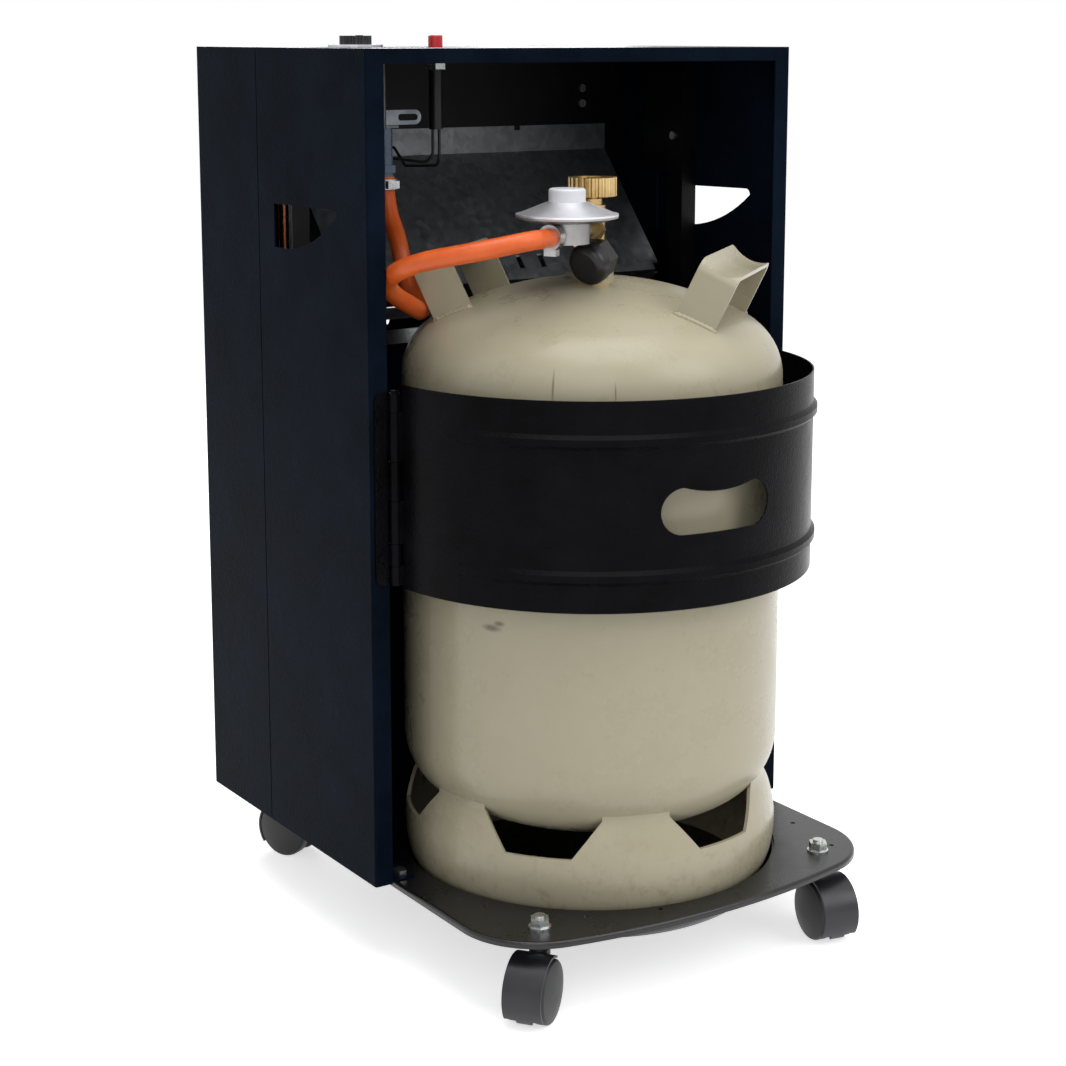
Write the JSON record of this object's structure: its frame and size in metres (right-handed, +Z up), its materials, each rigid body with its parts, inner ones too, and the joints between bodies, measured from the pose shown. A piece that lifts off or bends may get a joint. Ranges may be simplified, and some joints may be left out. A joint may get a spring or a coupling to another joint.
{
  "type": "portable gas cabinet heater",
  "caption": "Portable gas cabinet heater: black sheet steel cabinet on castors with a gas bottle behind it, held by a hinged band, and an orange hose to the control valve.",
  "frame": {"origin": "on the floor, below the middle of the heater's overall box", "axes": "+Z up, -Y out of the radiant front, +Y towards the bottle, +X to the right of someone who faces the front"},
  "size_m": [0.398, 0.4756, 0.713],
  "materials": {
    "cabinet_paint": "gloss black powder coat",
    "galvanised": "dark galvanised",
    "zinc": "zinc plated",
    "ceramic": "unglazed",
    "burner_steel": "aluminised",
    "reflector": "polished",
    "wire_chrome": "polished",
    "copper_line": "drawn",
    "cable": "matte",
    "knob_black": "satin",
    "button_red": "gloss",
    "igniter_black": "satin",
    "valve_alloy": "die cast",
    "pipe_steel": "satin",
    "hose_orange": "matte",
    "regulator_alloy": "die cast",
    "cap_grey": "satin",
    "brass": "machined",
    "plastic_black": "satin",
    "bottle_paint": "satin enamel",
    "plate_paint": "satin black",
    "castor_plastic": "satin",
    "castor_tyre": "matte"
  },
  "bodies": {
    "heater": {"front_casing": "cabinet_paint", "rear_casing": "cabinet_paint", "front_grille": "wire_chrome", "ceramic_plaques": "ceramic", "burner_housing": "burner_steel", "reflector": "reflector", "burner_manifold": "burner_steel", "burner_pipe": "copper_line", "pilot_burner": "copper_line", "thermocouple": "copper_line", "ignition_electrode": "ceramic", "igniter_leads": "cable", "inner_back_panel": "cabinet_paint", "heat_shield": "galvanised", "seam_rails": "cabinet_paint", "body_screws": "zinc", "valve_bracket": "zinc", "gas_valve": "valve_alloy", "piezo_body": "igniter_black", "piezo_nut": "zinc", "inlet_pipe": "pipe_steel", "gas_hose": "hose_orange", "hose_clamps": "zinc", "regulator_body": "regulator_alloy", "regulator_cover": "regulator_alloy", "regulator_cap": "cap_grey", "union_nut": "brass", "cylinder_valve": "brass", "outlet_cap": "plastic_black", "cap_strap": "plastic_black", "bottle_shell": "bottle_paint", "bottle_foot_ring": "bottle_paint", "bow_handles": "bottle_paint", "hinge_leaf": "cabinet_paint", "hinge_pin": "zinc", "hinge_rivets": "zinc", "base_plate": "plate_paint", "base_pan": "plate_paint", "casing_bolts": "zinc", "castor_stems": "zinc", "castor_nuts": "zinc"},
    "spindle": {"valve_spindle": "zinc"},
    "knob": {"control_knob": "knob_black", "knob_skirt": "wire_chrome"},
    "igniter_button": {"piezo_button": "button_red"},
    "band": {"retaining_band": "cabinet_paint", "band_hook": "zinc"},
    "handwheel": {"valve_handwheel": "brass"},
    "swivel_rear_right": {"castor_hood_rear_right": "castor_plastic", "castor_axle_rear_right": "zinc"},
    "wheels_rear_right": {"castor_wheels_rear_right": "castor_tyre"},
    "swivel_rear_left": {"castor_hood_rear_left": "castor_plastic", "castor_axle_rear_left": "zinc"},
    "wheels_rear_left": {"castor_wheels_rear_left": "castor_tyre"},
    "swivel_front_right": {"castor_hood_front_right": "castor_plastic", "castor_axle_front_right": "zinc"},
    "wheels_front_right": {"castor_wheels_front_right": "castor_tyre"},
    "swivel_front_left": {"castor_hood_front_left": "castor_plastic", "castor_axle_front_left": "zinc"},
    "wheels_front_left": {"castor_wheels_front_left": "castor_tyre"}
  },
  "joints": [
    {"name": "knob_push", "type": "slide", "parent": "heater", "child": "spindle", "axis": [0, 0, -1], "range_m": [0, 0.003], "stiffness_N_per_m": 400},
    {"name": "knob_turn", "type": "hinge", "parent": "spindle", "child": "knob", "pos_m": [0.146, -0.05085, 0.7], "axis": [0, 0, 1], "range_deg": [0, 270]},
    {"name": "igniter_press", "type": "slide", "parent": "heater", "child": "igniter_button", "axis": [0, 0, -1], "range_m": [0, 0.0045], "stiffness_N_per_m": 600},
    {"name": "band_swing", "type": "hinge", "parent": "heater", "child": "band", "pos_m": [0.181, 0.06415, 0.38], "axis": [0, 0, -1], "range_deg": [0, 100]},
    {"name": "handwheel_turn", "type": "hinge", "parent": "heater", "child": "handwheel", "pos_m": [0, 0.06115, 0.597], "axis": [0, 0, 1], "range_deg": [0, 720]},
    {"name": "castor_swivel_rear_right", "type": "hinge", "parent": "heater", "child": "swivel_rear_right", "pos_m": [0.1347, 0.18955, 0.045], "axis": [0, 0, 1], "continuous": true},
    {"name": "castor_roll_rear_right", "type": "hinge", "parent": "swivel_rear_right", "child": "wheels_rear_right", "pos_m": [0.1467, 0.19856, 0.024], "axis": [-0.6004, 0.7997, 0], "continuous": true},
    {"name": "castor_swivel_rear_left", "type": "hinge", "parent": "heater", "child": "swivel_rear_left", "pos_m": [-0.1347, 0.18955, 0.045], "axis": [0, 0, 1], "continuous": true},
    {"name": "castor_roll_rear_left", "type": "hinge", "parent": "swivel_rear_left", "child": "wheels_rear_left", "pos_m": [-0.13171, 0.20425, 0.024], "axis": [-0.9799, 0.1994, 0], "continuous": true},
    {"name": "castor_swivel_front_right", "type": "hinge", "parent": "heater", "child": "swivel_front_right", "pos_m": [0.1347, -0.18085, 0.045], "axis": [0, 0, 1], "continuous": true},
    {"name": "castor_roll_front_right", "type": "hinge", "parent": "swivel_front_right", "child": "wheels_front_right", "pos_m": [0.1408, -0.19455, 0.024], "axis": [0.9135, 0.4067, 0], "continuous": true},
    {"name": "castor_swivel_front_left", "type": "hinge", "parent": "heater", "child": "swivel_front_left", "pos_m": [-0.1347, -0.18085, 0.045], "axis": [0, 0, 1], "continuous": true},
    {"name": "castor_roll_front_left", "type": "hinge", "parent": "swivel_front_left", "child": "wheels_front_left", "pos_m": [-0.14393, -0.19267, 0.024], "axis": [0.788, -0.6157, 0], "continuous": true}
  ]
}
